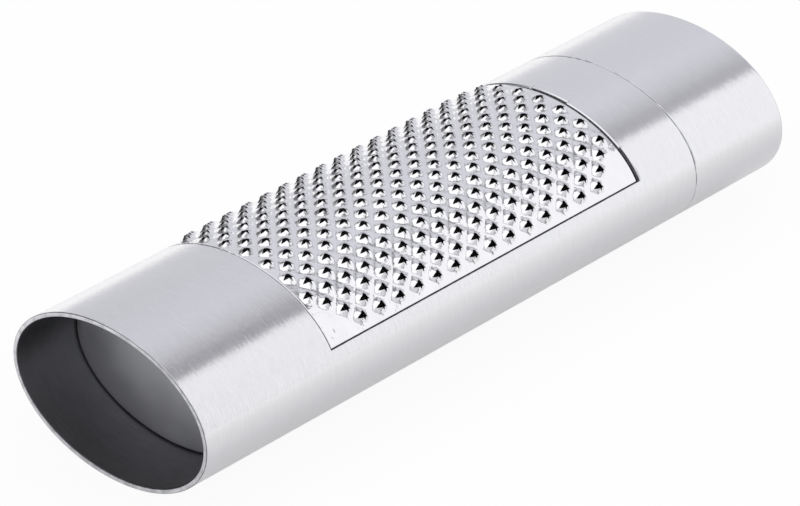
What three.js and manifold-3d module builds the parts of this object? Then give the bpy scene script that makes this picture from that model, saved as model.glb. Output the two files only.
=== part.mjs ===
// Hand-held nutmeg grater: an elliptical steel tube with a toothed plate set flush in a window
// in its upper side, a recessed plate closing its front, and a pull-off cap on its rear end.
// Millimetres. +X runs along the tube to the cap, +Z is up, and the tube lies on Z = 0.
// The origin is under the middle of the tube.
import * as THREE from "three";
import { mergeVertices } from "three/addons/utils/BufferGeometryUtils.js";
import Module from "manifold-3d";

const wasm = await Module();
wasm.setup();

// Tube section, shared by the body and the cap
const tubeWidth = 43.4;
const tubeHeight = 28.1;
const tubeWall = 0.8;
const sectionFacets = 60;

// Lengths along the tube
const bodyLength = 117.1;
const seamGap = 0.1;
const capLength = 22.8;

// Window in the upper side of the body, between the same angle on both sides of the section
const windowFromFront = 29.3;
const windowFromSeam = 13.1;
const windowEdgeAngle = THREE.MathUtils.degToRad(20.5);

// Two lips left standing in the window's rear edge, over the plate's flange
const lipReach = 0.35;
const lipFromTop = 3.9;
const lipLength = 12.8;

// Toothed plate: flush with the tube's outside, with a stepped-down flange under the tube wall
const plateThickness = 0.5;
const plateFrontGap = 0.12;
const plateRearGap = 0.9;
const plateSideGap = 0.25;
const plateSeatGap = 0.12;
const flangeOverlap = 3;

// Punched teeth, staggered in rows along the tube; each is a dome torn open into three petals
const toothPitch = 4.385;
const toothRowStep = 2.3;
const toothStandOut = 0.62;
const toothBaseRadius = 1.3;
const toothBaseCorners = 6;
const toothRootRadius = 1;
const toothEdgeLand = 0.15;
const cornerCutSteps = 3;

// A tooth's torn edge: where its tears end, and the petal's tip that follows each of them, by
// bearing from +X in degrees, share of the base radius, and share of the stand-out
const tearEnds = [[-42, 0.69, 0.3], [53, 0.77, 0.29], [180, 0.83, 0.19]];
const petalTips = [[8, 0.37, 0.9], [118, 0.4, 0.94], [245, 0.33, 1]];

// Plates that close the front end and the cap, each set back from the tube's end
const endPlateThickness = 1;
const endPlateGap = 0.12;
const frontRecess = 12.9;
const rearRecess = 12.9;

// Plastic collar, fixed in the cap, that plugs into the body
const collarThickness = 2.4;
const collarSeatGap = 0.12;
const collarRunningGap = 0.25;
const collarTipGap = 1.7;

// Two friction rings in grooves around the collar's plug
const ringWidth = 1.8;
const ringDepth = 1.2;
const ringWallGap = 0.1;
const ringGrooveGap = 0.12;
const firstRingFromTip = 2;
const ringSpacing = 3.4;

// Places worked out from the sizes above
const sectionHalfWidth = tubeWidth / 2;
const sectionHalfHeight = tubeHeight / 2;
const windowRear = bodyLength - windowFromSeam;
const plateFront = windowFromFront + plateFrontGap;
const plateRear = windowRear - plateRearGap;
const capFront = bodyLength + seamGap;
const overallLength = capFront + capLength;
const capPlateFront = overallLength - rearRecess - endPlateThickness;
const collarFront = plateRear + flangeOverlap + collarTipGap;
const collarRear = capPlateFront - endPlateGap;

// A section is described by angles from +Y to +Z, and by how far it lies inside the outside.
function sectionPoint(angle, inset) {
  const outside = new THREE.Vector2(
    sectionHalfWidth * Math.cos(angle),
    sectionHalfHeight * Math.sin(angle),
  );
  const inwards = new THREE.Vector2(
    -sectionHalfHeight * Math.cos(angle),
    -sectionHalfWidth * Math.sin(angle),
  ).normalize();
  return outside.addScaledVector(inwards, inset);
}

// The whole section as a polygon, with a flat facet at its top, bottom and sides.
function sectionOutline(inset) {
  const step = (2 * Math.PI) / sectionFacets;
  return Array.from({ length: sectionFacets }, (_, i) => sectionPoint((i + 0.5) * step, inset));
}

// A shape in the section plane, pushed along the tube from one place to another.
function extrudeAlong(shape, from, to) {
  const geometry = new THREE.ExtrudeGeometry(shape, { depth: to - from, bevelEnabled: false });
  geometry.translate(0, 0, from);
  const sectionToTube = new THREE.Matrix4().makeBasis(
    new THREE.Vector3(0, 1, 0),
    new THREE.Vector3(0, 0, 1),
    new THREE.Vector3(1, 0, 0),
  );
  return geometry.applyMatrix4(sectionToTube);
}

function sleeve(outerInset, innerInset, from, to) {
  const shape = new THREE.Shape(sectionOutline(outerInset));
  shape.holes.push(new THREE.Path(sectionOutline(innerInset)));
  return extrudeAlong(shape, from, to);
}

function toSolid(geometry) {
  const mergeDistance = 1e-5;
  const bare = geometry.clone();
  bare.deleteAttribute("normal");
  bare.deleteAttribute("uv");
  const merged = mergeVertices(bare, mergeDistance);
  const mesh = new wasm.Mesh({
    numProp: 3,
    vertProperties: merged.attributes.position.array,
    triVerts: new Uint32Array(merged.index.array),
  });
  return new wasm.Manifold(mesh);
}

function toGeometry(solid) {
  const mesh = solid.getMesh();
  const geometry = new THREE.BufferGeometry();
  geometry.setAttribute("position", new THREE.BufferAttribute(mesh.vertProperties, 3));
  geometry.setIndex(new THREE.BufferAttribute(mesh.triVerts, 1));
  geometry.computeVertexNormals();
  return geometry;
}

// Length of the section's outer edge from its top to an angle, positive towards +Y.
function arcFromTop(angle) {
  const steps = 64;
  const step = (Math.PI / 2 - angle) / steps;
  let length = 0;
  for (let i = 0; i < steps; i++) {
    length += edgeSpeed(angle + (i + 0.5) * step) * step;
  }
  return length;
}

function edgeSpeed(angle) {
  return Math.hypot(sectionHalfWidth * Math.sin(angle), sectionHalfHeight * Math.cos(angle));
}

// The angle at a length of edge from the top, by Newton's method.
function angleAtArc(arc) {
  const rounds = 6;
  let angle = Math.PI / 2 - arc / sectionHalfWidth;
  for (let i = 0; i < rounds; i++) {
    angle += (arcFromTop(angle) - arc) / edgeSpeed(angle);
  }
  return angle;
}

// What is cut away between two angles of the section. Its sides follow the section's normals
// through the wall, and it runs straight across inside the hollow and far outside the tube.
function wedge(fromAngle, toAngle, from, to) {
  const below = 1.5 * tubeWall;
  const above = -tubeHeight;
  const middle = (fromAngle + toAngle) / 2;
  const shape = new THREE.Shape([
    sectionPoint(fromAngle, below),
    sectionPoint(fromAngle, above),
    sectionPoint(middle, 2 * above),
    sectionPoint(toAngle, above),
    sectionPoint(toAngle, below),
  ]);
  return toSolid(extrudeAlong(shape, from, to));
}

// Body tube, with its window cut through the upper wall
function bodyTube() {
  const lipEnd = angleAtArc(lipFromTop + lipLength);
  const lipStart = angleAtArc(lipFromTop);
  const lipFront = windowRear - lipReach;
  const cutter = wedge(windowEdgeAngle, Math.PI - windowEdgeAngle, windowFromFront, windowRear)
    .subtract(wedge(lipEnd, lipStart, lipFront, windowRear + tubeWall))
    .subtract(wedge(Math.PI - lipStart, Math.PI - lipEnd, lipFront, windowRear + tubeWall));
  const tube = toSolid(sleeve(0, tubeWall, 0, bodyLength));
  return toGeometry(tube.subtract(cutter));
}

// The plate is drawn flat on a grid of half pitches and rows, and wrapped onto the section.
// Grid points whose indices have an odd sum are the corners of diamonds, one for each tooth.
const plateHalfLength = (plateRear - plateFront) / 2;
const plateMiddle = (plateRear + plateFront) / 2;
const plateHalfArc = arcFromTop(windowEdgeAngle) - plateSideGap;
const halfPitch = toothPitch / 2;
const toothReach = Math.max(toothBaseRadius, toothRootRadius + plateThickness) + toothEdgeLand;
const lastToothColumn = Math.floor((plateHalfLength - toothReach) / halfPitch);
const lastToothRow = Math.floor((plateHalfArc - toothReach) / toothRowStep);
const edgeColumn = lastToothColumn + 1;
const edgeRow = lastToothRow + 1;

function hasTooth(column, row) {
  const inField = Math.abs(column) < edgeColumn && Math.abs(row) < edgeRow;
  const steps = Math.abs(column) + Math.abs(row);
  return inField && steps <= lastToothColumn + lastToothRow - cornerCutSteps;
}

// A mesh under construction: points in the plate's flat drawing, and the faces between them.
class PlateMesh {
  positions = [];
  faces = [];

  addPoint(along, arc, inset) {
    const section = sectionPoint(angleAtArc(arc), inset);
    this.positions.push(plateMiddle + along, section.x, section.y);
    return this.positions.length / 3 - 1;
  }

  // A ring of points around the middle of a tooth, anticlockwise seen from outside.
  addRing(along, arc, points) {
    return points.map(({ angle, radius, inset }) => {
      const index = this.addPoint(
        along + radius * Math.cos(angle),
        arc + radius * Math.sin(angle),
        inset,
      );
      return { index, angle };
    });
  }

  // The band between two rings around the same centre, the inner one starting no later.
  addBand(outer, inner, facesOut) {
    const nextAngle = (ring, i) => ring[(i + 1) % ring.length].angle
      + 2 * Math.PI * Math.floor((i + 1) / ring.length);
    const at = (ring, i) => ring[i % ring.length].index;
    let i = 0;
    let j = 0;
    while (i < outer.length || j < inner.length) {
      const stepOuter = j === inner.length
        || (i < outer.length && nextAngle(outer, i) <= nextAngle(inner, j));
      const corner = stepOuter ? at(outer, i + 1) : at(inner, j + 1);
      this.addFace([at(outer, i), corner, at(inner, j)], facesOut);
      i += stepOuter ? 1 : 0;
      j += stepOuter ? 0 : 1;
    }
  }

  // A fan of triangles over a convex outline, anticlockwise seen from outside.
  addFace(outline, facesOut) {
    for (let i = 1; i < outline.length - 1; i++) {
      const triangle = [outline[0], outline[i], outline[i + 1]];
      this.faces.push(...(facesOut ? triangle : triangle.reverse()));
    }
  }

  toGeometry() {
    const geometry = new THREE.BufferGeometry();
    geometry.setAttribute("position", new THREE.Float32BufferAttribute(this.positions, 3));
    geometry.setIndex(this.faces);
    geometry.computeVertexNormals();
    return geometry;
  }
}

// Place of a grid point in the flat drawing; points on the border move out with it.
function gridPlace(column, row, grow) {
  const onSide = Math.abs(column) === edgeColumn;
  const onEnd = Math.abs(row) === edgeRow;
  return {
    along: onSide ? Math.sign(column) * (plateHalfLength + grow) : column * halfPitch,
    arc: onEnd ? Math.sign(row) * (plateHalfArc + grow) : row * toothRowStep,
  };
}

// Grid points around the border, anticlockwise seen from outside, all of them on the curved
// ends and only the diamonds' corners on the straight sides.
function borderPoints() {
  const points = [];
  for (let row = -edgeRow; row < edgeRow; row++) {
    points.push([edgeColumn, row]);
  }
  for (let column = edgeColumn; column > -edgeColumn; column--) {
    points.push([column, edgeRow]);
  }
  for (let row = edgeRow; row > -edgeRow; row--) {
    points.push([-edgeColumn, row]);
  }
  for (let column = -edgeColumn; column < edgeColumn; column++) {
    points.push([column, -edgeRow]);
  }
  return points.filter(([column, row]) => isCorner(column, row) || Math.abs(column) === edgeColumn);
}

function isCorner(column, row) {
  return (column + row) % 2 !== 0;
}

// One side of the sheet: its grid points, shared by neighbouring diamonds.
function makeSheetSide(mesh, inset, grow) {
  const indices = new Map();
  return (column, row) => {
    const key = `${column} ${row}`;
    if (!indices.has(key)) {
      const place = gridPlace(column, row, grow);
      indices.set(key, mesh.addPoint(place.along, place.arc, inset));
    }
    return indices.get(key);
  };
}

// Corners of the diamond around a grid point, cut off where it meets the border.
function diamond(column, row) {
  const around = [[1, 0], [0, 1], [-1, 0], [0, -1]];
  const corners = around
    .map(([right, up]) => [column + right, row + up])
    .filter(([c, r]) => Math.abs(c) <= edgeColumn && Math.abs(r) <= edgeRow);
  const onCurvedEnd = Math.abs(column) === edgeColumn;
  if (!onCurvedEnd) {
    return corners;
  }
  const side = Math.sign(column);
  const inwards = [column - side, row];
  const ends = [[column, row - side], [column, row], [column, row + side]];
  return [inwards, ...ends.filter(([, r]) => Math.abs(r) <= edgeRow)];
}

// Toothed plate: diamonds with or without a tooth on both sides of the sheet, closed around the
// border by the step down and the flange.
function graterPlate() {
  const mesh = new PlateMesh();
  const outside = makeSheetSide(mesh, 0, 0);
  const inside = makeSheetSide(mesh, plateThickness, -plateThickness);
  for (let column = -edgeColumn; column <= edgeColumn; column++) {
    for (let row = -edgeRow; row <= edgeRow; row++) {
      if (isCorner(column, row)) {
        continue;
      }
      const corners = diamond(column, row);
      const outer = corners.map(([c, r]) => outside(c, r));
      const inner = corners.map(([c, r]) => inside(c, r));
      if (hasTooth(column, row)) {
        addTooth(mesh, column, row, outer, inner);
      } else {
        mesh.addFace(outer, true);
        mesh.addFace(inner, false);
      }
    }
  }
  addFlange(mesh, outside, inside);
  return mesh.toGeometry();
}

// The three rings of a tooth: its base, its torn edge, and its root on the inside of the sheet
const toothBase = Array.from({ length: toothBaseCorners }, (_, i) => ({
  angle: ((2 * i - 1) * Math.PI) / toothBaseCorners,
  radius: toothBaseRadius,
  inset: 0,
}));
const toothTear = tearEnds
  .flatMap((end, i) => [end, petalTips[i]])
  .map(([bearing, radiusShare, heightShare]) => ({
    angle: THREE.MathUtils.degToRad(bearing),
    radius: radiusShare * toothBaseRadius,
    inset: -heightShare * toothStandOut,
  }));
const toothRoot = tearEnds.map(([bearing]) => ({
  angle: THREE.MathUtils.degToRad(bearing),
  radius: toothRootRadius,
  inset: plateThickness,
}));

// One tooth in its diamond: flank up to the torn edge, and the hole through it.
function addTooth(mesh, column, row, outerCorners, innerCorners) {
  const { along, arc } = gridPlace(column, row, 0);
  const withAngles = (corners) => corners.map((index, i) => ({ index, angle: (i * Math.PI) / 2 }));
  const base = mesh.addRing(along, arc, toothBase);
  const tear = mesh.addRing(along, arc, toothTear);
  const root = mesh.addRing(along, arc, toothRoot);
  mesh.addBand(withAngles(outerCorners), base, true);
  mesh.addBand(base, tear, true);
  mesh.addBand(root, tear, false);
  mesh.addBand(withAngles(innerCorners), root, false);
}

// Down through the window, out under the tube wall, and back below the step.
function addFlange(mesh, outside, inside) {
  const seat = tubeWall + plateSeatGap;
  const below = seat + plateThickness;
  const sides = [
    outside,
    makeSheetSide(mesh, seat, 0),
    makeSheetSide(mesh, seat, flangeOverlap),
    makeSheetSide(mesh, below, flangeOverlap),
    makeSheetSide(mesh, below, -plateThickness),
    inside,
  ];
  const border = borderPoints();
  for (let side = 0; side < sides.length - 1; side++) {
    border.forEach(([column, row], i) => {
      const [nextColumn, nextRow] = border[(i + 1) % border.length];
      const face = [
        sides[side](column, row),
        sides[side + 1](column, row),
        sides[side + 1](nextColumn, nextRow),
        sides[side](nextColumn, nextRow),
      ];
      mesh.addFace(face, true);
    });
  }
}

// Flat plate across the hollow
function endPlate(from) {
  const shape = new THREE.Shape(sectionOutline(tubeWall + endPlateGap));
  return extrudeAlong(shape, from, from + endPlateThickness);
}

// Where each friction ring starts, along the tube
const ringFronts = [collarFront + firstRingFromTip, collarFront + firstRingFromTip + ringSpacing];
const ringOutside = tubeWall + ringWallGap;
const ringInside = ringOutside + ringDepth;

// Collar: a sleeve that plugs into the body, thicker where it is fixed in the cap
function capCollar() {
  const bore = tubeWall + collarSeatGap + collarThickness;
  let collar = toSolid(sleeve(tubeWall + collarRunningGap, bore, collarFront, collarRear))
    .add(toSolid(sleeve(tubeWall + collarSeatGap, bore, capFront, collarRear)));
  for (const ringFront of ringFronts) {
    const from = ringFront - ringGrooveGap;
    const to = ringFront + ringWidth + ringGrooveGap;
    collar = collar.subtract(toSolid(sleeve(0, ringInside + ringGrooveGap, from, to)));
  }
  return toGeometry(collar);
}

function frictionRing(from) {
  return sleeve(ringOutside, ringInside, from, from + ringWidth);
}

function material(color, roughness, metalness) {
  return new THREE.MeshStandardMaterial({ color, roughness, metalness });
}

function addPiece(group, name, geometry, look) {
  const mesh = new THREE.Mesh(geometry, look);
  mesh.name = name;
  group.add(mesh);
}

// Everything is drawn with the section's centre on the axis and the front end at X = 0.
const grater = new THREE.Group();
grater.position.set(
  -overallLength / 2,
  0,
  sectionHalfHeight * Math.cos(Math.PI / sectionFacets),
);
addPiece(grater, "body_tube", bodyTube(), material(0xc8c8ce, 0.35, 1));
addPiece(grater, "grater_plate", graterPlate(), material(0xe2e2e8, 0.12, 1));
addPiece(grater, "front_end_plate", endPlate(frontRecess), material(0x77787e, 0.5, 1));
addPiece(
  grater,
  "cap_tube",
  sleeve(0, tubeWall, capFront, overallLength),
  material(0xc8c8ce, 0.35, 1),
);
addPiece(grater, "cap_end_plate", endPlate(capPlateFront), material(0x77787e, 0.5, 1));
addPiece(grater, "cap_collar", capCollar(), material(0x2b2c30, 0.6, 0));
ringFronts.forEach((from, i) => {
  addPiece(grater, `friction_ring_${i + 1}`, frictionRing(from), material(0x1c1c1e, 0.8, 0));
});

export default grater;
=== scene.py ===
from functools import cache
from math import cos, hypot, pi, radians, sin

import bmesh
import bpy
from mathutils import Matrix, Vector


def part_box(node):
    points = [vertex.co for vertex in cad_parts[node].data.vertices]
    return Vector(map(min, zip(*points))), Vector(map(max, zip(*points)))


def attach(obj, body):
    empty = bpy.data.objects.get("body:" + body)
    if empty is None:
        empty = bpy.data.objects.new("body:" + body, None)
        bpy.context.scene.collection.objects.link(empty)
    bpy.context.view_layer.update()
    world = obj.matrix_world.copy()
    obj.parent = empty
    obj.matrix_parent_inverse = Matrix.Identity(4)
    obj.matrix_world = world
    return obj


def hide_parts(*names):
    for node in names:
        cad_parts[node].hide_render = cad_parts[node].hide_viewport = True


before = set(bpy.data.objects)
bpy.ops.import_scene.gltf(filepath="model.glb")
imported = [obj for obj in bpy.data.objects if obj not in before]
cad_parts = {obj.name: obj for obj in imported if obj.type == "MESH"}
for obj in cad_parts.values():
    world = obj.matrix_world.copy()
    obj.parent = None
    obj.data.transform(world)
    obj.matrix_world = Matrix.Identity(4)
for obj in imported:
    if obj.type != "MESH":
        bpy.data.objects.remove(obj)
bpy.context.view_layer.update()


# Body tube
# A drawn stainless tube of elliptical section with a 0.8 mm wall, cut square at both ends. The
# window for the toothed plate is punched through its upper wall. Outside, it is brushed around
# the tube, so that every brush mark is part of a ring, and inside it keeps its dull drawn skin,
# whose dark colour is painted shade of the hollow.
tube_low, tube_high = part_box("body_tube")
half_width = (tube_high.y - tube_low.y) / 2
half_height = (tube_high.z - tube_low.z) / 2
centre_height = (tube_high.z + tube_low.z) / 2
tube_sides = 192
tube_wall = 0.0008
tube_soft_edge = 0.0001
sharp_angle = radians(50)
edge_support = 0.0003
same_place = 0.00001
ahead_of_window = 0.0293
behind_window = 0.0131
window_front = tube_low.x + ahead_of_window
window_rear = tube_high.x - behind_window
window_angle = radians(20.5)
lip_reach = 0.00035
lip_from_top = 0.0039
lip_length = 0.0128
rear_edge_round = 0.00025
rear_edge_steps = 3
# What lies past this share of the section's size is on its outside, and not on its inside
outer_share = 0.98
# The order of the finishes on a piece cut from tube; the inside's and the corners' colours are
# painted shade
outside_finish, inside_finish, cut_finish, corner_finish = range(4)


def edge_speed(angle):
    """Length of the section's outside for each radian."""
    return hypot(half_width * sin(angle), half_height * cos(angle))


@cache
def arc_from_top(angle):
    """Length of the section's outside from its top to an angle, positive towards +Y."""
    steps = 64
    step = (pi / 2 - angle) / steps
    return sum(edge_speed(angle + (i + 0.5) * step) * step for i in range(steps))


@cache
def angle_at_arc(arc):
    """Finds the angle for a length from the top, by Newton's method."""
    tries = 5
    angle = pi / 2 - arc / half_width
    for _ in range(tries):
        angle += (arc_from_top(angle) - arc) / edge_speed(angle)
    return angle


def leave_pieces():
    """Leaves edit mode and deselects everything, before the next primitive is added."""
    if bpy.context.object and bpy.context.object.mode == "EDIT":
        bpy.ops.object.mode_set(mode="OBJECT")
    bpy.ops.object.select_all(action="DESELECT")


def start_piece(name):
    """Names the primitive that was just added, and opens all of it for editing."""
    piece = bpy.context.object
    piece.name = name
    bpy.ops.object.transform_apply(location=True, rotation=True, scale=True)
    bpy.ops.object.mode_set(mode="EDIT")
    bpy.ops.mesh.select_all(action="SELECT")
    return piece


def fit_section(inset, from_inset=None):
    """Resizes what is selected to the section at an inset, from a unit circle or another inset."""
    width, height = half_width - inset, half_height - inset
    if from_inset is not None:
        width /= half_width - from_inset
        height /= half_height - from_inset
    bpy.ops.transform.resize(value=(1, width, height), center_override=(0, 0, centre_height))


def add_section_tube(name, front, rear, inset=0):
    """An open tube of the elliptical section between two places, in edit mode."""
    leave_pieces()
    bpy.ops.mesh.primitive_cylinder_add(
        vertices=tube_sides, radius=1, depth=rear - front, end_fill_type="NOTHING",
        location=((front + rear) / 2, 0, centre_height), rotation=(0, radians(90), 0))
    piece = start_piece(name)
    fit_section(inset)
    return piece


def select_faces(piece, chosen):
    """Selects the faces that a test of their centre and normal picks, in edit mode."""
    bpy.ops.mesh.select_mode(type="FACE")
    bpy.ops.mesh.select_all(action="DESELECT")
    mesh = bmesh.from_edit_mesh(piece.data)
    for face in mesh.faces:
        if chosen(face.calc_center_median(), face.normal):
            face.select_set(True)
    bmesh.update_edit_mesh(piece.data)


def select_edges(piece, chosen):
    """Selects the edges that a test of their middle and of being open picks, in edit mode."""
    bpy.ops.mesh.select_mode(type="EDGE")
    bpy.ops.mesh.select_all(action="DESELECT")
    mesh = bmesh.from_edit_mesh(piece.data)
    for edge in mesh.edges:
        if chosen((edge.verts[0].co + edge.verts[1].co) / 2, edge.is_boundary):
            edge.select_set(True)
    bmesh.update_edit_mesh(piece.data)


def cut_across(piece, point, normal, chosen=None, **settings):
    """Cuts the line of a plane into all faces, or into the chosen ones."""
    if chosen:
        select_faces(piece, chosen)
    else:
        bpy.ops.mesh.select_all(action="SELECT")
    bpy.ops.mesh.bisect(plane_co=point, plane_no=normal, **settings)


def apply_modifier(piece, kind, **settings):
    """Adds a modifier to the active piece and applies it at once."""
    modifier = piece.modifiers.new(kind.lower(), kind)
    for setting, value in settings.items():
        setattr(modifier, setting, value)
    bpy.ops.object.modifier_apply(modifier=modifier.name)


def thicken(piece, thickness):
    """Gives an open sheet its wall, inwards, with finishes of their own inside and on its cuts."""
    bpy.ops.object.mode_set(mode="OBJECT")
    for _ in (outside_finish, inside_finish, cut_finish, corner_finish):
        piece.data.materials.append(None)
    apply_modifier(piece, "SOLIDIFY", thickness=thickness, offset=-1, use_even_offset=True,
                   material_offset=inside_finish, material_offset_rim=cut_finish)


def soften_edges(piece, width, segments=2, finish=-1, clamped=True):
    """Rounds the sharp edges and shades the rest smooth, with flats kept flat.

    At -1, the rounding takes its finish from the faces beside it.
    """
    apply_modifier(piece, "BEVEL", width=width, segments=segments, limit_method="ANGLE",
                   angle_limit=sharp_angle, material=finish, use_clamp_overlap=clamped)
    bpy.ops.object.shade_smooth_by_angle(angle=sharp_angle)
    apply_modifier(piece, "WEIGHTED_NORMAL", keep_sharp=True, weight=100)


def brighten_corners(piece, chosen):
    """Gives softened corners picked by their place the cut's steel, not the painted shade line."""
    for face in piece.data.polygons:
        if face.material_index == corner_finish and chosen(face.center):
            face.material_index = cut_finish


# Cut in the lines that bound the window and its lips, and others beside the edges, which keep
# the shading of the wall even
body_tube = add_section_tube("body_tube_shell", tube_low.x, tube_high.x)
for along in (tube_low.x + edge_support, window_front - edge_support, window_front,
              window_rear - lip_reach, window_rear, window_rear + edge_support,
              tube_high.x - edge_support):
    cut_across(body_tube, (along, 0, 0), (1, 0, 0))
window_side = centre_height + half_height * sin(window_angle)
for height in (window_side, window_side - edge_support):
    cut_across(body_tube, (0, 0, height), (0, 0, 1))
lip_sides = [half_width * cos(angle_at_arc(arc))
             for arc in (lip_from_top, lip_from_top + lip_length)]
for side in lip_sides:
    for across in (side, -side):
        cut_across(body_tube, (0, across, 0), (0, 1, 0),
                   lambda centre, normal: window_rear - lip_reach < centre.x < window_rear)


def in_window(centre, normal):
    """Whether a face of the wall is punched out: all of the window, apart from its two lips."""
    in_lip = centre.x > window_rear - lip_reach and lip_sides[0] < abs(centre.y) < lip_sides[1]
    return window_front < centre.x < window_rear and centre.z > window_side and not in_lip


select_faces(body_tube, in_window)
bpy.ops.mesh.delete(type="FACE")
thicken(body_tube, tube_wall)


def on_rear_edge(middle, is_open):
    """Whether an edge is the outer edge of the window's rear end, lips included."""
    in_lip = lip_sides[0] < abs(middle.y) < lip_sides[1]
    edge_x = window_rear - lip_reach if in_lip else window_rear
    on_line = abs(middle.x - edge_x) < same_place
    share = hypot(middle.y / half_width, (middle.z - centre_height) / half_height)
    return on_line and middle.z > window_side and share > outer_share


# Round over the window's rear edge, and then soften the rest
bpy.ops.object.mode_set(mode="EDIT")
select_edges(body_tube, on_rear_edge)
bpy.ops.mesh.bevel(offset=rear_edge_round, segments=rear_edge_steps, material=outside_finish)
bpy.ops.object.mode_set(mode="OBJECT")
# The softened corners are painted dark as a thin line of shade; only those at the front end keep it
soften_edges(body_tube, tube_soft_edge, finish=corner_finish, clamped=False)
brighten_corners(body_tube, lambda centre: centre.x > tube_low.x + edge_support)


def add_node(tree, kind, inputs=None, **settings):
    """Adds a shader node. An input is a value, or the socket that feeds it."""
    node = tree.nodes.new("ShaderNode" + kind)
    for setting, value in settings.items():
        setattr(node, setting, value)
    for name, value in (inputs or {}).items():
        if isinstance(value, bpy.types.NodeSocket):
            tree.links.new(value, node.inputs[name])
        else:
            node.inputs[name].default_value = value
    return node


def start_group(name, inputs, outputs):
    """A shader node group with number inputs. Returns it and the node that brings them in."""
    group = bpy.data.node_groups.new(name, "ShaderNodeTree")
    for socket, value in inputs.items():
        made = group.interface.new_socket(socket, in_out="INPUT", socket_type="NodeSocketFloat")
        made.default_value = value
    for socket in outputs:
        group.interface.new_socket(socket, in_out="OUTPUT", socket_type="NodeSocketFloat")
    return group, group.nodes.new("NodeGroupInput")


def end_group(group, **outputs):
    """Links what a group puts out to its sockets."""
    leave = group.nodes.new("NodeGroupOutput")
    for name, socket in outputs.items():
        group.links.new(socket, leave.inputs[name])


def at_size(tree, size):
    """Object coordinates divided by the size of a mark."""
    place = add_node(tree, "TexCoord")
    times = add_node(tree, "Math", {0: 1, 1: size}, operation="DIVIDE")
    scaled = add_node(tree, "VectorMath", {0: place.outputs["Object"], "Scale": times.outputs[0]},
                      operation="SCALE")
    return scaled.outputs[0]


# Brush marks, drawn out around the tube and fine along it
brush_marks, given = start_group(
    "brush marks around the tube",
    {"Mark Width": 0.00015, "Mark Length": 0.004, "Contrast": 0.1}, ["Height", "Tone"])
split = add_node(brush_marks, "SeparateXYZ", {0: at_size(brush_marks, given.outputs["Mark Length"])})
finer = add_node(brush_marks, "Math", {0: given.outputs["Mark Length"],
                                       1: given.outputs["Mark Width"]}, operation="DIVIDE")
along = add_node(brush_marks, "Math", {0: split.outputs["X"], 1: finer.outputs[0]},
                 operation="MULTIPLY")
drawn_out = add_node(brush_marks, "CombineXYZ", {0: along.outputs[0], 1: split.outputs["Y"],
                                                 2: split.outputs["Z"]})
marks = add_node(brush_marks, "TexNoise", {"Vector": drawn_out.outputs[0], "Scale": 1,
                                           "Detail": 3, "Roughness": 0.6})
spread = add_node(brush_marks, "MapRange", {"Value": marks.outputs["Fac"], "From Min": 0.3,
                                            "From Max": 0.7, "To Min": -1, "To Max": 0})
tone = add_node(brush_marks, "Math", {0: spread.outputs[0], 1: given.outputs["Contrast"], 2: 1},
                operation="MULTIPLY_ADD")
end_group(brush_marks, Height=marks.outputs["Fac"], Tone=tone.outputs[0])

# Smudges and hairline scratches that handling leaves on bare metal
handling_marks, given = start_group(
    "handling marks on bare metal",
    {"Smudge Size": 0.01, "Scratch Size": 0.002}, ["Smudge", "Scratch"])
smudge = add_node(handling_marks, "TexNoise", {
    "Vector": at_size(handling_marks, given.outputs["Smudge Size"]), "Scale": 1, "Detail": 3})
scratch_place = at_size(handling_marks, given.outputs["Scratch Size"])
waver = add_node(handling_marks, "TexNoise", {"Vector": scratch_place, "Scale": 0.7})
bent = add_node(handling_marks, "VectorMath",
                {0: waver.outputs["Color"], 1: (2.5, 2.5, 2.5), 2: scratch_place},
                operation="MULTIPLY_ADD")
cells = add_node(handling_marks, "TexVoronoi", {"Vector": bent.outputs[0], "Scale": 1},
                 feature="DISTANCE_TO_EDGE")
line = add_node(handling_marks, "MapRange", {"Value": cells.outputs["Distance"], "From Min": 0,
                                             "From Max": 0.03, "To Min": 1, "To Max": 0})
patch = add_node(handling_marks, "MapRange", {"Value": waver.outputs["Fac"], "From Min": 0.5,
                                              "From Max": 0.62})
scratch = add_node(handling_marks, "Math", {0: line.outputs[0], 1: patch.outputs[0]},
                   operation="MULTIPLY")
end_group(handling_marks, Smudge=smudge.outputs["Fac"], Scratch=scratch.outputs[0])


def place_group(tree, group, **values):
    """Places a node group with its own values, as Mark_Width for its input Mark Width."""
    node = tree.nodes.new("ShaderNodeGroup")
    node.node_tree = group
    for name, value in values.items():
        node.inputs[name.replace("_", " ")].default_value = value
    return node


def new_surface(name, **values):
    """A material, its node tree and its Principled shader, with plain values set on it."""
    made = bpy.data.materials.new(name)
    made.use_nodes = True
    shader = made.node_tree.nodes["Principled BSDF"]
    for socket, value in values.items():
        shader.inputs[socket.replace("_", " ")].default_value = value
    return made, made.node_tree, shader


def feed(tree, shader, colour, tone, roughness, worn_by, height, distance):
    """Feeds the shader a colour under a tone, a roughness between two values, and a bump."""
    tinted = add_node(tree, "VectorMath", {0: colour, "Scale": tone}, operation="SCALE")
    tree.links.new(tinted.outputs[0], shader.inputs["Base Color"])
    spread = add_node(tree, "MapRange", {"Value": worn_by, "From Min": 0.3, "From Max": 0.7,
                                         "To Min": roughness[0], "To Max": roughness[1]})
    tree.links.new(spread.outputs[0], shader.inputs["Roughness"])
    bump = add_node(tree, "Bump", {"Height": height, "Distance": distance, "Strength": 1})
    tree.links.new(bump.outputs[0], shader.inputs["Normal"])
    return bump


def worn_tone(tree, smudge, least, most):
    """A tone between two values, which follows the smudges."""
    tone = add_node(tree, "MapRange", {"Value": smudge, "From Min": 0.35, "From Max": 0.65,
                                       "To Min": least, "To Max": most})
    return tone.outputs[0]


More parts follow.
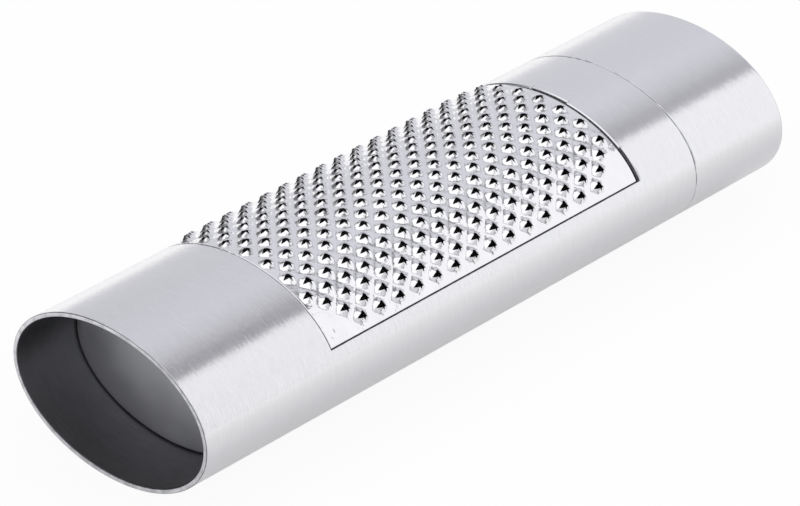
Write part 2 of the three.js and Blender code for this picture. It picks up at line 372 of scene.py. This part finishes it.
def brushed_around(name, colour, roughness, contrast, depth, width, length=0.004,
                   short_length=0.0012, anisotropic=0.0, lean=0.0):
    """Steel brushed around the tube: the shine spreads along it and stays tight around it.

    Short marks lean the surface to and fro around the tube, which frays the edge of a reflection.
    """
    made, tree, shader = new_surface(name, Metallic=1, Anisotropic=anisotropic,
                                     Anisotropic_Rotation=0.25)
    marks = place_group(tree, brush_marks, Mark_Width=width, Mark_Length=length,
                        Contrast=contrast)
    worn = place_group(tree, handling_marks, Smudge_Size=0.02)
    around = add_node(tree, "Tangent", direction_type="RADIAL", axis="X")
    tree.links.new(around.outputs[0], shader.inputs["Tangent"])
    bump = feed(tree, shader, colour, marks.outputs["Tone"], roughness,
                worn_by=worn.outputs["Smudge"], height=marks.outputs["Height"], distance=depth)
    short_marks = place_group(tree, brush_marks, Mark_Width=2 * width, Mark_Length=short_length)
    leaning = add_node(tree, "Math", {0: short_marks.outputs["Height"], 1: lean, 2: -lean / 2},
                       operation="MULTIPLY_ADD")
    aside = add_node(tree, "VectorMath", {0: around.outputs[0], "Scale": leaning.outputs[0]},
                     operation="SCALE")
    level = add_node(tree, "NewGeometry")
    leant = add_node(tree, "VectorMath", {0: level.outputs["Normal"], 1: aside.outputs[0]},
                     operation="ADD")
    upright = add_node(tree, "VectorMath", {0: leant.outputs[0]}, operation="NORMALIZE")
    tree.links.new(upright.outputs[0], bump.inputs["Normal"])
    return made


brushed_outside = brushed_around(
    "brushed_steel_outside", colour=(0.68, 0.68, 0.693), roughness=(0.12, 0.15), contrast=0.06,
    depth=0.00002, width=0.00013, length=0.0025, anisotropic=0.7, lean=0.08)
# The inside's dull roughness is the drawn skin, and its dark colour is painted shade of the hollow
inside_steel_painted_shade = brushed_around(
    "drawn_steel_inside_painted_shade", colour=(0.21, 0.21, 0.22), roughness=(0.4, 0.5), contrast=0.15,
    depth=0.000006, width=0.0004)


def sawn_steel(name, colour, roughness):
    """Bare steel where the tube was cut, with fine pits and rubbed spots."""
    made, tree, shader = new_surface(name, Metallic=1)
    pits = place_group(tree, handling_marks, Smudge_Size=0.0014).outputs["Smudge"]
    feed(tree, shader, colour, worn_tone(tree, pits, 0.8, 1.2), roughness, worn_by=pits,
         height=pits, distance=0.00025)
    return made


cut_face = sawn_steel("cut_steel_face", colour=(0.58, 0.58, 0.6), roughness=(0.12, 0.3))
# A dark colour for the softened corners, which paints a thin line of shade along the rims
corner_painted_shade = sawn_steel("cut_steel_corner_painted_shade", colour=(0.2, 0.2, 0.21), roughness=(0.25, 0.4))


def dress(piece, node, body, slot, *materials):
    """Gives a finished piece its materials, and ties it to the frame in a CAD node's place."""
    leave_pieces()
    # Clearing the materials sets every face back to the first one
    finishes = [face.material_index for face in piece.data.polygons]
    piece.data.materials.clear()
    for material in materials:
        piece.data.materials.append(material)
    piece.data.polygons.foreach_set("material_index", finishes)
    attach(piece, body)
    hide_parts(node)


dress(body_tube, "body_tube", "grater_body", "brushed_steel",
      brushed_outside, inside_steel_painted_shade, cut_face, corner_painted_shade)


# Front end plate
# A flat disc of the tube's inner outline, stamped from 1 mm stainless with rolled-over edges. It
# is pressed 13 mm deep into the open front end, and closes the grating chamber.
end_plate_gap = 0.00012
end_plate_roll = 0.00045
end_plate_margin = 0.0015


def add_end_plate(name, node):
    """A solid elliptical disc with rolled edges, where a CAD node's disc is."""
    low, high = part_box(node)
    leave_pieces()
    bpy.ops.mesh.primitive_circle_add(
        vertices=tube_sides, radius=1, fill_type="NGON", location=(low.x, 0, centre_height),
        rotation=(0, radians(-90), 0))
    piece = start_piece(name)
    fit_section(tube_wall + end_plate_gap)
    bpy.ops.mesh.inset(thickness=end_plate_margin)
    bpy.ops.mesh.select_all(action="SELECT")
    bpy.ops.mesh.extrude_region_move(TRANSFORM_OT_translate={"value": (high.x - low.x, 0, 0)})
    bpy.ops.mesh.select_all(action="SELECT")
    bpy.ops.mesh.normals_make_consistent(inside=False)
    bpy.ops.object.mode_set(mode="OBJECT")
    soften_edges(piece, end_plate_roll, segments=3)
    return piece


def fine_grained(name, colour, tone, roughness, smudge_size, grain, depth, **values):
    """A surface with an even grain, by its scale and detail, and worn a little in smudges."""
    made, tree, shader = new_surface(name, **values)
    smudge = place_group(tree, handling_marks, Smudge_Size=smudge_size).outputs["Smudge"]
    place = add_node(tree, "TexCoord").outputs["Object"]
    grains = add_node(tree, "TexNoise", {"Vector": place, "Scale": grain[0], "Detail": grain[1]})
    feed(tree, shader, colour, worn_tone(tree, smudge, *tone), roughness, worn_by=smudge,
         height=grains.outputs["Fac"], distance=depth)
    return made


satin_plate = fine_grained(
    "satin_steel_plate", colour=(0.5, 0.505, 0.525), tone=(0.97, 1.03), roughness=(0.4, 0.5),
    smudge_size=0.006, grain=(4000, 2), depth=0.00002, Metallic=1)
front_plate = add_end_plate("front_end_plate_disc", "front_end_plate")
dress(front_plate, "front_end_plate", "grater_body", "satin_steel", satin_plate)


# Toothed plate
# Bright stainless sheet, 0.5 mm thick, pierced from below by a pointed punch in staggered rows,
# so that each tooth is a small dome torn open into upright petals. The toothed field lies flush
# in the window, and its border steps down under the tube wall, where it is tacked.
plate_thickness = 0.0005
plate_front_gap = 0.00012
plate_rear_gap = 0.0009
plate_side_gap = 0.00025
plate_soft_edge = 0.0001
plate_sharp_angle = radians(60)
step_wall = 0.0003
flange_gap = 0.00012
flange_drop = tube_wall + flange_gap
flange_overlap = 0.003
tooth_pitch = 0.004385
tooth_row_step = 0.0023
tooth_reach = 0.00165
corner_cut_steps = 3
spare_tiles = 2
base_radius = 0.0013
base_height = 0.00002
shoulder_share = 0.45
shoulder_bulge = 0.00006
root_radius = 0.00104
hole_wall_top = 0.0001
# A face that has less of its normal than this along an axis doesn't face along it
facing_share = 0.5
underside_level = -0.9 * plate_thickness
flange_level = -1.5 * plate_thickness
# Bearing from +X in degrees, radius and height of each point round the torn edge
torn_edge = [
    (8, 0.00048, 0.00056), (32, 0.00072, 0.0004), (53, 0.001, 0.00018), (85, 0.00068, 0.00042),
    (118, 0.00052, 0.00058), (156, 0.0007, 0.00038), (180, 0.00108, 0.00012),
    (203, 0.00066, 0.00038), (242, 0.00042, 0.00061), (284, 0.00084, 0.00016),
    (303, 0.0005, 0.0006), (334, 0.00098, 0.00028)]
ring_points = len(torn_edge)
side_steps = ring_points // 4

plate_low_x = window_front + plate_front_gap
plate_high_x = window_rear - plate_rear_gap
plate_half_length = (plate_high_x - plate_low_x) / 2
plate_middle = (plate_high_x + plate_low_x) / 2
plate_half_arc = arc_from_top(window_angle) - plate_side_gap
column_step = tooth_pitch / 2
last_column = int((plate_half_length - tooth_reach) / column_step)
last_row = int((plate_half_arc - tooth_reach) / tooth_row_step)


def on_circle(number):
    """Where the circle that a tooth starts from has its points, anticlockwise from +X."""
    bearing = 2 * pi * number / ring_points
    return Vector((base_radius * cos(bearing), base_radius * sin(bearing), 0))


def on_diamond(number, height):
    """A point of the tile's edge, which is a diamond between four neighbours."""
    corners = [Vector((column_step, 0, height)), Vector((0, tooth_row_step, height)),
               Vector((-column_step, 0, height)), Vector((0, -tooth_row_step, height))]
    side, step = divmod(number, side_steps)
    return corners[side].lerp(corners[(side + 1) % 4], step / side_steps)


def on_bearing(number, radius, height):
    """A point on the bearing of one of the torn edge's points."""
    bearing = radians(torn_edge[number][0])
    return Vector((radius * cos(bearing), radius * sin(bearing), height))


def on_dome(number, share):
    """A point of the dome, part of the way from the torn edge down to the base."""
    _, radius, height = torn_edge[number]
    bulge = 4 * share * (1 - share) * shoulder_bulge
    return on_bearing(number, radius + (base_radius - radius) * share,
                      height + (base_height - height) * share + bulge)


def on_root(number):
    """A point of the hole's outline in the underside of the sheet."""
    return on_bearing(number, (torn_edge[number][1] + root_radius) / 2, -plate_thickness)


def place_ring(piece, was, where):
    """Moves the selected ring of points from one rule's places to the next rule's."""
    mesh = bmesh.from_edit_mesh(piece.data)
    for vertex in mesh.verts:
        if vertex.select:
            nearest = min(range(ring_points), key=lambda number: (was(number) - vertex.co).length)
            vertex.co = where(nearest)
    bmesh.update_edit_mesh(piece.data)


# One tooth on its tile, drawn as a line of rings: from the tile's edge in to the dome, up to the
# torn edge, down the hole, and out to the tile's edge again on the underside
leave_pieces()
bpy.ops.mesh.primitive_circle_add(vertices=ring_points, radius=base_radius, fill_type="NOTHING",
                                  rotation=(0, 0, radians(90)))
tooth_tile = start_piece("tooth_tile")
tooth_rings = [on_circle, lambda number: on_diamond(number, 0), lambda number: on_dome(number, 1),
               lambda number: on_dome(number, shoulder_share), lambda number: on_dome(number, 0),
               on_root, lambda number: on_diamond(number, -plate_thickness)]
place_ring(tooth_tile, tooth_rings[0], tooth_rings[1])
for was, where in zip(tooth_rings[1:], tooth_rings[2:]):
    bpy.ops.mesh.extrude_edges_move(TRANSFORM_OT_translate={"value": (0, 0, 0)})
    place_ring(tooth_tile, was, where)

# A tile without a tooth, with the same points on its edge, for the border of the field
leave_pieces()
bpy.ops.mesh.primitive_circle_add(vertices=4, radius=1, fill_type="NGON")
plain_tile = start_piece("plain_tile")
bpy.ops.transform.resize(value=(column_step, tooth_row_step, 1))
bpy.ops.mesh.subdivide(number_cuts=side_steps - 1)
for step in range(1 - side_steps, side_steps):
    cut_across(plain_tile, (0, tooth_row_step * step / side_steps, 0), (0, 1, 0))
bpy.ops.mesh.select_all(action="SELECT")
bpy.ops.mesh.duplicate_move(TRANSFORM_OT_translate={"value": (0, 0, -plate_thickness)})


def has_tooth(column, row):
    """Whether a tile has a tooth: all in the field, apart from its cut corners."""
    in_field = abs(column) <= last_column and abs(row) <= last_row
    return in_field and abs(column) + abs(row) <= last_column + last_row - corner_cut_steps


# Lay the tiles in staggered rows, a little past the field, and merge them into one sheet
leave_pieces()
column_reach = last_column + spare_tiles
row_reach = last_row + spare_tiles
for column in range(-column_reach, column_reach + 1):
    for row in range(-row_reach, row_reach + 1):
        if (column + row) % 2 == 0:
            tile = (tooth_tile if has_tooth(column, row) else plain_tile).copy()
            tile.data = tile.data.copy()
            tile.data.transform(Matrix.Translation((column * column_step, row * tooth_row_step, 0)))
            bpy.context.collection.objects.link(tile)
            tile.select_set(True)
            bpy.context.view_layer.objects.active = tile
bpy.ops.object.join()
toothed_plate = start_piece("toothed_plate_sheet")
bpy.data.objects.remove(tooth_tile)
bpy.data.objects.remove(plain_tile)
bpy.ops.mesh.remove_doubles(threshold=same_place)

# Trim the sheet to the field, and work its border down into the flange
trim = (plate_half_length - step_wall, plate_half_arc - step_wall)
for side in (1, -1):
    cut_across(toothed_plate, (side * trim[0], 0, 0), (side, 0, 0), clear_outer=True,
               threshold=same_place)
    cut_across(toothed_plate, (0, side * trim[1], 0), (0, side, 0), clear_outer=True,
               threshold=same_place)


def select_open_rim(height):
    """Selects the open edge of the sheet that lies at a height."""
    select_edges(toothed_plate, lambda middle, is_open: is_open
                 and abs(middle.z - height) < same_place)


def widen_rim(distance):
    """Extrudes the selected rim outwards on all four sides."""
    bpy.ops.mesh.extrude_edges_move(TRANSFORM_OT_translate={"value": (0, 0, 0)})
    mesh = bmesh.from_edit_mesh(toothed_plate.data)
    rim = [vertex for vertex in mesh.verts if vertex.select]
    for axis in (0, 1):
        reach = max(vertex.co[axis] for vertex in rim)
        for vertex in rim:
            if abs(vertex.co[axis]) > reach - same_place:
                vertex.co[axis] += distance if vertex.co[axis] > 0 else -distance
    bmesh.update_edit_mesh(toothed_plate.data)


def lower_rim(distance):
    """Extrudes the selected rim straight down."""
    bpy.ops.mesh.extrude_edges_move(TRANSFORM_OT_translate={"value": (0, 0, -distance)})


def on_border(middle, half_length, half_arc):
    """Whether an edge of the flat top lies on the outline of a field of the given size."""
    on_outline = (abs(abs(middle.x) - half_length) < same_place
                  or abs(abs(middle.y) - half_arc) < same_place)
    return on_outline and abs(middle.z) < same_place


# The top goes out, down and out again, and the underside goes straight down to meet it
select_open_rim(0)
widen_rim(step_wall)
lower_rim(flange_drop)
widen_rim(flange_overlap)
lower_rim(plate_thickness)
select_open_rim(-plate_thickness)
lower_rim(flange_drop)
select_open_rim(-plate_thickness - flange_drop)
bpy.ops.mesh.bridge_edge_loops()
bpy.ops.mesh.select_all(action="SELECT")
bpy.ops.mesh.normals_make_consistent(inside=False)

# Soften the upper edge of the field, and keep the flat inside it flat
select_edges(toothed_plate, lambda middle, is_open:
             on_border(middle, plate_half_length, plate_half_arc))
bpy.ops.mesh.bevel(offset=plate_soft_edge, segments=2)
flat_half_length = plate_half_length - plate_soft_edge
flat_half_arc = plate_half_arc - plate_soft_edge
select_edges(toothed_plate, lambda middle, is_open:
             on_border(middle, flat_half_length, flat_half_arc))
bpy.ops.mesh.mark_sharp()

# Polish the top of the sheet, and give its underside, its flange and the holes' walls the dull
# steel whose dark colour is painted shade
bpy.ops.object.mode_set(mode="OBJECT")
polished_finish, painted_shade_finish = range(2)
for _ in (polished_finish, painted_shade_finish):
    toothed_plate.data.materials.append(None)
for face in toothed_plate.data.polygons:
    in_field = abs(face.center.x) < trim[0] and abs(face.center.y) < trim[1]
    in_hole = abs(face.normal.z) < facing_share and face.center.z < hole_wall_top
    is_under = face.center.z < underside_level
    on_flange = face.center.z < flange_level
    gets_painted_shade = in_field and (in_hole or is_under) or on_flange
    face.material_index = painted_shade_finish if gets_painted_shade else polished_finish

# Roll the flat sheet to the tube's section. Rounding lets a row of points share one angle
rounded_digits = 7
for vertex in toothed_plate.data.vertices:
    angle = angle_at_arc(round(vertex.co.y, rounded_digits))
    outward = Vector((0, half_height * cos(angle), half_width * sin(angle))).normalized()
    on_section = Vector((plate_middle + vertex.co.x, half_width * cos(angle),
                         centre_height + half_height * sin(angle)))
    vertex.co = on_section + outward * vertex.co.z
bpy.ops.object.shade_smooth_by_angle(angle=plate_sharp_angle)

polished_plate, tree, shader = new_surface("polished_steel_plate", Metallic=1)
marks = place_group(tree, handling_marks, Smudge_Size=0.004, Scratch_Size=0.0015)
uneven = place_group(tree, handling_marks, Smudge_Size=0.0028)
scored = add_node(tree, "Math", {0: marks.outputs["Scratch"], 1: -0.012,
                                 2: uneven.outputs["Smudge"]}, operation="MULTIPLY_ADD")
feed(tree, shader, (0.7, 0.7, 0.712), worn_tone(tree, marks.outputs["Smudge"], 0.98, 1.02),
     roughness=(0.05, 0.09), worn_by=marks.outputs["Smudge"], height=scored.outputs[0],
     distance=0.00025)
# The second finish is dull steel painted dark as shade in the holes, the gap and underneath
dress(toothed_plate, "grater_plate", "grater_body", "polished_steel", polished_plate,
      inside_steel_painted_shade)


# Cap tube
# The same drawn tube, cut 22.8 mm long for the cap, which closes the rear end. Only a hairline
# seam parts it from the body tube, and it is brushed with it, so the finish runs on.
cap_low, cap_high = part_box("cap_tube")
cap_tube = add_section_tube("cap_tube_shell", cap_low.x, cap_high.x)
for along in (cap_low.x + edge_support, cap_high.x - edge_support):
    cut_across(cap_tube, (along, 0, 0), (1, 0, 0))
thicken(cap_tube, tube_wall)
# The softened corners are painted dark as a thin line of shade; only those at the rear end keep it
soften_edges(cap_tube, tube_soft_edge, finish=corner_finish)
brighten_corners(cap_tube, lambda centre: centre.x < cap_high.x - edge_support)
dress(cap_tube, "cap_tube", "cap", "brushed_steel", brushed_outside, inside_steel_painted_shade, cut_face,
      corner_painted_shade)


# Cap end plate
# The same stamped disc as at the front, pressed 13 mm deep into the cap's open end.
cap_plate = add_end_plate("cap_end_plate_disc", "cap_end_plate")
dress(cap_plate, "cap_end_plate", "cap", "satin_steel", satin_plate)


# Cap collar
# A moulded dark plastic sleeve, bonded inside the cap, whose front part plugs into the body
# tube. Its plug is a little narrower than its seat, and has two square grooves for the rings.
collar_low, collar_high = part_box("cap_collar")
collar_seat_gap = 0.00012
collar_plug_gap = 0.00025
collar_thickness = 0.0024
collar_step_length = 0.0002
collar_soft_edge = 0.00025
ring_gap = 0.0001
ring_depth = 0.0012
groove_gap = 0.00012
collar_seat_inset = tube_wall + collar_seat_gap
collar_plug_inset = tube_wall + collar_plug_gap
collar_bore_inset = collar_seat_inset + collar_thickness
ring_outer_inset = tube_wall + ring_gap
groove_inset = ring_outer_inset + ring_depth + groove_gap
ring_boxes = [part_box("friction_ring_1"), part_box("friction_ring_2")]

# Narrow the plug, press the grooves into it, and turn the wall in at the front to the bore
collar = add_section_tube("collar_sleeve", collar_low.x, collar_high.x, collar_seat_inset)
seat_front = cap_low.x
cut_across(collar, (seat_front, 0, 0), (1, 0, 0))
cut_across(collar, (seat_front - collar_step_length, 0, 0), (1, 0, 0))
select_faces(collar, lambda centre, normal: centre.x < seat_front - collar_step_length)
fit_section(collar_plug_inset, from_inset=collar_seat_inset)
for ring_low, ring_high in ring_boxes:
    groove = (ring_low.x - groove_gap, ring_high.x + groove_gap)
    for along in groove:
        cut_across(collar, (along, 0, 0), (1, 0, 0))
    select_faces(collar, lambda centre, normal: groove[0] < centre.x < groove[1]
                 and abs(normal.x) < facing_share)
    bpy.ops.mesh.extrude_region_shrink_fatten(
        TRANSFORM_OT_shrink_fatten={"value": collar_plug_inset - groove_inset})
select_edges(collar, lambda middle, is_open: is_open and middle.x < collar_low.x + same_place)
bpy.ops.mesh.extrude_edges_move(TRANSFORM_OT_translate={"value": (0, 0, 0)})
fit_section(collar_bore_inset, from_inset=collar_plug_inset)
bpy.ops.mesh.extrude_edges_move(
    TRANSFORM_OT_translate={"value": (collar_high.x - collar_low.x, 0, 0)})
select_edges(collar, lambda middle, is_open: is_open)
bpy.ops.mesh.bridge_edge_loops()
bpy.ops.mesh.select_all(action="SELECT")
bpy.ops.mesh.normals_make_consistent(inside=False)
bpy.ops.object.mode_set(mode="OBJECT")
soften_edges(collar, collar_soft_edge)

moulded_plastic = fine_grained(
    "moulded_collar_plastic", colour=(0.028, 0.029, 0.034), tone=(0.85, 1.15),
    roughness=(0.4, 0.55), smudge_size=0.005, grain=(3500, 3), depth=0.00003, IOR=1.5)
dress(collar, "cap_collar", "cap", "collar_plastic", moulded_plastic)


# Friction rings
# Two black rubber rings with rounded faces, stretched into the collar's grooves. They stand a
# little proud of the plug, and grip the inside of the body tube to hold the cap on.
ring_rounding = 0.0005
soft_rubber = fine_grained(
    "friction_ring_rubber", colour=(0.014, 0.014, 0.015), tone=(0.85, 1.15),
    roughness=(0.6, 0.8), smudge_size=0.003, grain=(2500, 3), depth=0.00004, IOR=1.52)
for number, (ring_low, ring_high) in enumerate(ring_boxes, start=1):
    ring = add_section_tube(f"rubber_ring_{number}", ring_low.x, ring_high.x, ring_outer_inset)
    thicken(ring, ring_depth)
    soften_edges(ring, ring_rounding, segments=4)
    for face in ring.data.polygons:
        face.material_index = outside_finish
    dress(ring, f"friction_ring_{number}", "cap", "ring_rubber", soft_rubber)


# Floor, light and camera
# A plain white floor that keeps the object's shadow and, in the metal, runs on into the wall, and
# a studio of soft panels: a long white one beside the tube, a grey gap over it, a pale lavender
# ceiling, and a light in front that is brightest high up.
floor_size = 30
floor_drop = 0.00005
seen_share = 0.93
mirrored_share = 0.4
far_share = 0.6
far_glow = 0.3
near_reach = 0.03

leave_pieces()
bpy.ops.mesh.primitive_plane_add(size=floor_size, location=(0, 0, -floor_drop))
floor = bpy.context.object
floor.name = "studio_floor"
floor_paint = bpy.data.materials.new("white_floor_paint")
floor_paint.use_nodes = True
tree = floor_paint.node_tree
tree.nodes.remove(tree.nodes["Principled BSDF"])

# In metal and glass the floor glows, and more so away from the object than close beside it
rays = add_node(tree, "LightPath")
mirrored = add_node(tree, "Math", {0: rays.outputs["Is Glossy Ray"],
                                   1: rays.outputs["Is Transmission Ray"]}, operation="MAXIMUM")
floor_place = add_node(tree, "SeparateXYZ", {0: add_node(tree, "TexCoord").outputs["Object"]})
beside = add_node(tree, "Math", {0: floor_place.outputs["Y"]}, operation="ABSOLUTE")
nearness = add_node(tree, "Math", {0: near_reach, 1: beside.outputs[0]}, operation="DIVIDE")
far_away = add_node(tree, "MapRange", {"Value": nearness.outputs[0], "From Min": 1, "From Max": 0})
far_mirrored = add_node(tree, "Math", {0: mirrored.outputs[0], 1: far_away.outputs[0]},
                        operation="MULTIPLY")
near_part = add_node(tree, "Math", {0: mirrored.outputs[0], 1: mirrored_share},
                     operation="MULTIPLY")
dimmed = add_node(tree, "Math", {0: far_mirrored.outputs[0], 1: far_share,
                                 2: near_part.outputs[0]}, operation="MULTIPLY_ADD")
glow = add_node(tree, "Math", {0: far_mirrored.outputs[0], 1: far_glow, 2: 1},
                operation="MULTIPLY_ADD")
share = add_node(tree, "Math", {0: rays.outputs["Is Camera Ray"], 1: seen_share,
                                2: dimmed.outputs[0]}, operation="MULTIPLY_ADD")
painted = add_node(tree, "BsdfDiffuse", {"Color": (0.82, 0.82, 0.83, 1)})
bright = add_node(tree, "Emission", {"Color": (1, 1, 1, 1), "Strength": glow.outputs[0]})
mixed = add_node(tree, "MixShader", {0: share.outputs[0], 1: painted.outputs[0],
                                     2: bright.outputs[0]})
tree.links.new(mixed.outputs[0], tree.nodes["Material Output"].inputs["Surface"])
floor.data.materials.append(floor_paint)

# The studio's panels go by the angle of a direction around the tube
studio = bpy.data.worlds.new("soft_studio")
bpy.context.scene.world = studio
studio.use_nodes = True
tree = studio.node_tree
direction = add_node(tree, "TexCoord").outputs["Generated"]
toward = add_node(tree, "SeparateXYZ", {0: direction})
turned = add_node(tree, "CombineXYZ", {0: toward.outputs["Y"], 1: toward.outputs["Z"]})
angle_round = add_node(tree, "TexGradient", {0: turned.outputs[0]}, gradient_type="RADIAL")
panels = add_node(tree, "ValToRGB", {0: angle_round.outputs["Fac"]})
panel_white = (1.3, 1.3, 1.33)
gap_grey = (0.4, 0.4, 0.42)
fading_grey = (0.54, 0.54, 0.57)
pale_grey = (0.76, 0.76, 0.8)
misty_grey = (0.89, 0.89, 0.95)
front_white = (1.45, 1.45, 1.48)
far_grey = (0.85, 0.85, 0.9)
soft_grey = (0.92, 0.92, 0.95)
ceiling_lavender = (0.935, 0.94, 1.01)
# Degrees around the tube from level on the far side, and the colour there
studio_stops = [(-180, panel_white), (0, far_grey), (35, far_grey), (65, ceiling_lavender),
                (74, misty_grey), (82, pale_grey), (90, fading_grey), (94, gap_grey),
                (102, gap_grey), (107, panel_white)]
# How far up a direction points, and the colour of the front light there
front_stops = [(0.03, gap_grey), (0.22, soft_grey), (0.57, soft_grey), (0.74, front_white)]
# How far along the tube a direction points, and the share of the light that comes from there
shade_stops = [(-1, 1), (0.34, 1), (0.4, 0.5), (0.45, 0.5), (0.52, 1)]


def set_stops(stops, wanted):
    """Sets the stops of a colour ramp, which has two of them at first."""
    for number, (place, colour) in enumerate(wanted):
        stop = stops[number] if number < 2 else stops.new(1)
        stop.position = place
        stop.color = (*colour, 1)


set_stops(panels.color_ramp.elements, [(turn / 360 + 0.5, colour) for turn, colour in studio_stops])
front_light = add_node(tree, "ValToRGB", {"Fac": toward.outputs["Z"]})
set_stops(front_light.color_ramp.elements, front_stops)

# Along the tube, the panels brighten at the far end. In front they end in a grey gap, and the
# front light follows, up to a dark card on the far side
forward = add_node(tree, "Math", {0: toward.outputs["X"], 1: 0.5, 2: 0.5}, operation="MULTIPLY_ADD")
shade = add_node(tree, "ValToRGB", {"Fac": forward.outputs[0]})
set_stops(shade.color_ramp.elements, [((x + 1) / 2, (tone, tone, tone)) for x, tone in shade_stops])
front_side = add_node(tree, "MapRange", {"Value": toward.outputs["X"], "From Min": 0.44,
                                         "From Max": 0.4})
far_end = add_node(tree, "MapRange", {"Value": toward.outputs["X"], "From Min": 0.6,
                                      "From Max": 0.69, "To Max": 0.7})
closing = add_node(tree, "Mix", {"Factor": far_end.outputs[0], "A": panels.outputs[0],
                                 "B": (*misty_grey, 1)}, data_type="RGBA", blend_type="LIGHTEN")
far_card = add_node(tree, "MapRange", {"Value": toward.outputs["Y"], "From Min": 0.6,
                                       "From Max": 0.8, "To Min": 1, "To Max": 0.25})
front_part = add_node(tree, "VectorMath", {0: front_light.outputs[0], "Scale": far_card.outputs[0]},
                      operation="SCALE")
all_round = add_node(tree, "Mix", {"Factor": front_side.outputs[0], "A": closing.outputs["Result"],
                                   "B": front_part.outputs[0]}, data_type="RGBA")
shaded = add_node(tree, "VectorMath", {0: all_round.outputs["Result"], 1: shade.outputs[0]},
                  operation="MULTIPLY")
tree.links.new(shaded.outputs[0], tree.nodes["Background"].inputs["Color"])

# The camera is fitted to the rims, the seam and the outline of the tube in the photo
camera_azimuth = radians(-47.22)
camera_elevation = radians(29.84)
camera_distance = 0.82992
focal_pixels = 5022.7
picture_width = 800
camera_shift = (-0.0157, -0.0168)
lens_data = bpy.data.cameras.new("photo_camera")
photo_camera = bpy.data.objects.new("photo_camera", lens_data)
bpy.context.collection.objects.link(photo_camera)
bpy.context.scene.camera = photo_camera
backward = Vector((sin(camera_azimuth) * cos(camera_elevation),
                   -cos(camera_azimuth) * cos(camera_elevation), sin(camera_elevation)))
photo_camera.location = Vector((0, 0, centre_height)) + backward * camera_distance
photo_camera.rotation_mode = "QUATERNION"
photo_camera.rotation_quaternion = (-backward).to_track_quat("-Z", "Y")
lens_data.sensor_width = 36
lens_data.lens = lens_data.sensor_width * focal_pixels / picture_width
lens_data.shift_x, lens_data.shift_y = camera_shift
lens_data.clip_start = 0.01

bpy.context.scene.view_settings.view_transform = "Standard"
